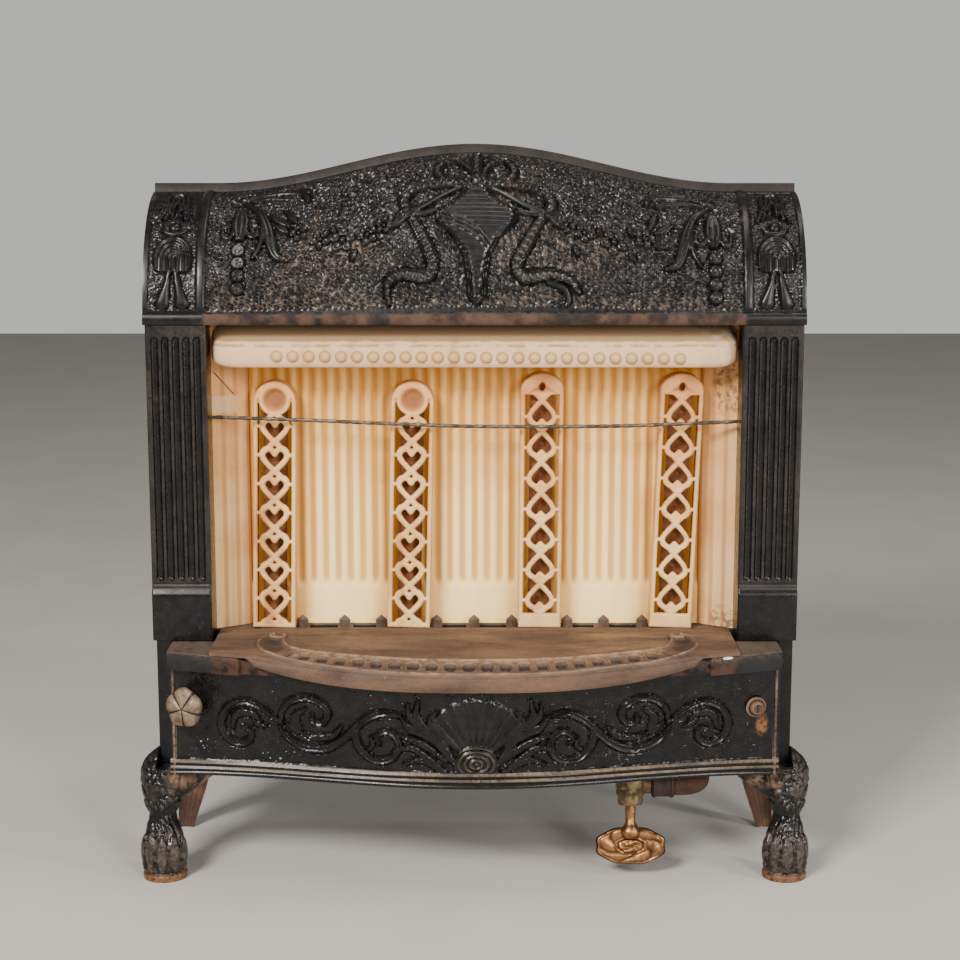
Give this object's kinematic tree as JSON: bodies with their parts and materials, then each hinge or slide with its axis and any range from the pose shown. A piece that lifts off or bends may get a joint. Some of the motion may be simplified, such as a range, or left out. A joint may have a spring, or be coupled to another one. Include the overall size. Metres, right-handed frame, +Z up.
{
  "type": "gas fireplace heater",
  "caption": "Antique cast-iron gas heater with a curved ornamental hood, fluted pilasters, a bowed hearth, claw feet and clay radiants.",
  "frame": {"origin": "floor, under the middle of the box around the whole heater", "axes": "+X to the right seen from the front, +Y away from the viewer towards the flue, +Z up; the front faces -Y"},
  "size_m": [0.5854, 0.2048, 0.633],
  "materials": {
    "black_iron": "worn black satin finish over cast iron",
    "rusty_iron": "bare cast iron with even brown rust",
    "cream_clay": "matt cream fire clay with rust-coloured stains",
    "peach_clay": "matt peach fire clay",
    "sheet_iron": "dark, lightly rusted sheet iron",
    "wire_steel": "dull grey steel wire",
    "worn_brass": "tarnished copper-coloured brass",
    "worn_knob": "worn bare metal with dark creases"
  },
  "bodies": {
    "heater": {"hood": "black_iron", "pilaster_left": "black_iron", "pilaster_right": "black_iron", "apron": "black_iron", "hearth_plate": "rusty_iron", "lintel": "cream_clay", "fireback": "cream_clay", "cheek_left": "cream_clay", "cheek_right": "cream_clay", "radiant_1": "peach_clay", "radiant_2": "peach_clay", "radiant_3": "peach_clay", "radiant_4": "peach_clay", "burner": "rusty_iron", "guard_wire": "wire_steel", "casing": "sheet_iron", "foot_front_left": "black_iron", "foot_front_right": "black_iron", "leg_rear_left": "rusty_iron", "leg_rear_right": "rusty_iron", "rosette_knob": "worn_knob", "apron_stud": "rusty_iron", "valve_body": "worn_brass", "mixer_tube": "sheet_iron", "pipe_coupling": "sheet_iron", "supply_pipe": "rusty_iron"},
    "valve_key": {"valve_key": "worn_brass"}
  },
  "joints": [
    {"name": "valve_key_turn", "type": "hinge", "parent": "heater", "child": "valve_key", "pos_m": [0.1365, -0.0261, 0.076], "axis": [0, 0.225, 0.9744], "range_deg": [0, 90]}
  ]
}
